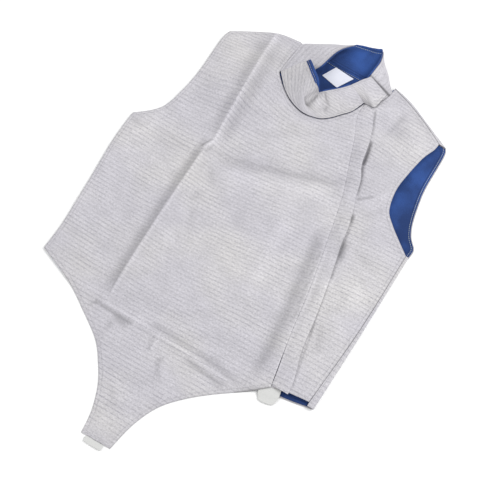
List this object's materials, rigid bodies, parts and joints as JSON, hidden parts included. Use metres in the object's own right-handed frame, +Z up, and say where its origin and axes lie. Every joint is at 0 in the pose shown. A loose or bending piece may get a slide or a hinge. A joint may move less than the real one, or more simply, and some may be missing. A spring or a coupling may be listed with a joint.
{
  "type": "fencing lame",
  "caption": "Sleeveless fencing over-vest in silver conductive cloth, laid flat on its back, with a stand collar, zip flap, crotch tail and elastic loops.",
  "frame": {"origin": "on the surface it lies on, under the middle of the whole garment", "axes": "+Y from the hem to the collar, +X to the wearer's left, +Z up out of the front"},
  "size_m": [0.5237, 0.8163, 0.0432],
  "materials": {
    "conductive_cloth": "silver woven cloth with thin grey weft stripes, soft metallic sheen",
    "lining_cloth": "matt blue plain weave",
    "label_tape": "white satin tape, bare",
    "elastic": "white woven elastic"
  },
  "bodies": {
    "root": {"front": "conductive_cloth", "side_front": "conductive_cloth", "zip_flap": "conductive_cloth", "back": "conductive_cloth", "collar_front": "conductive_cloth", "collar_tab": "conductive_cloth", "collar_left": "conductive_cloth", "collar_back": "conductive_cloth", "back_lining": "lining_cloth", "collar_front_lining": "lining_cloth", "collar_left_lining": "lining_cloth", "collar_back_lining": "lining_cloth", "label": "label_tape", "hem_loop": "elastic", "tail_loop": "elastic"}
  },
  "joints": []
}
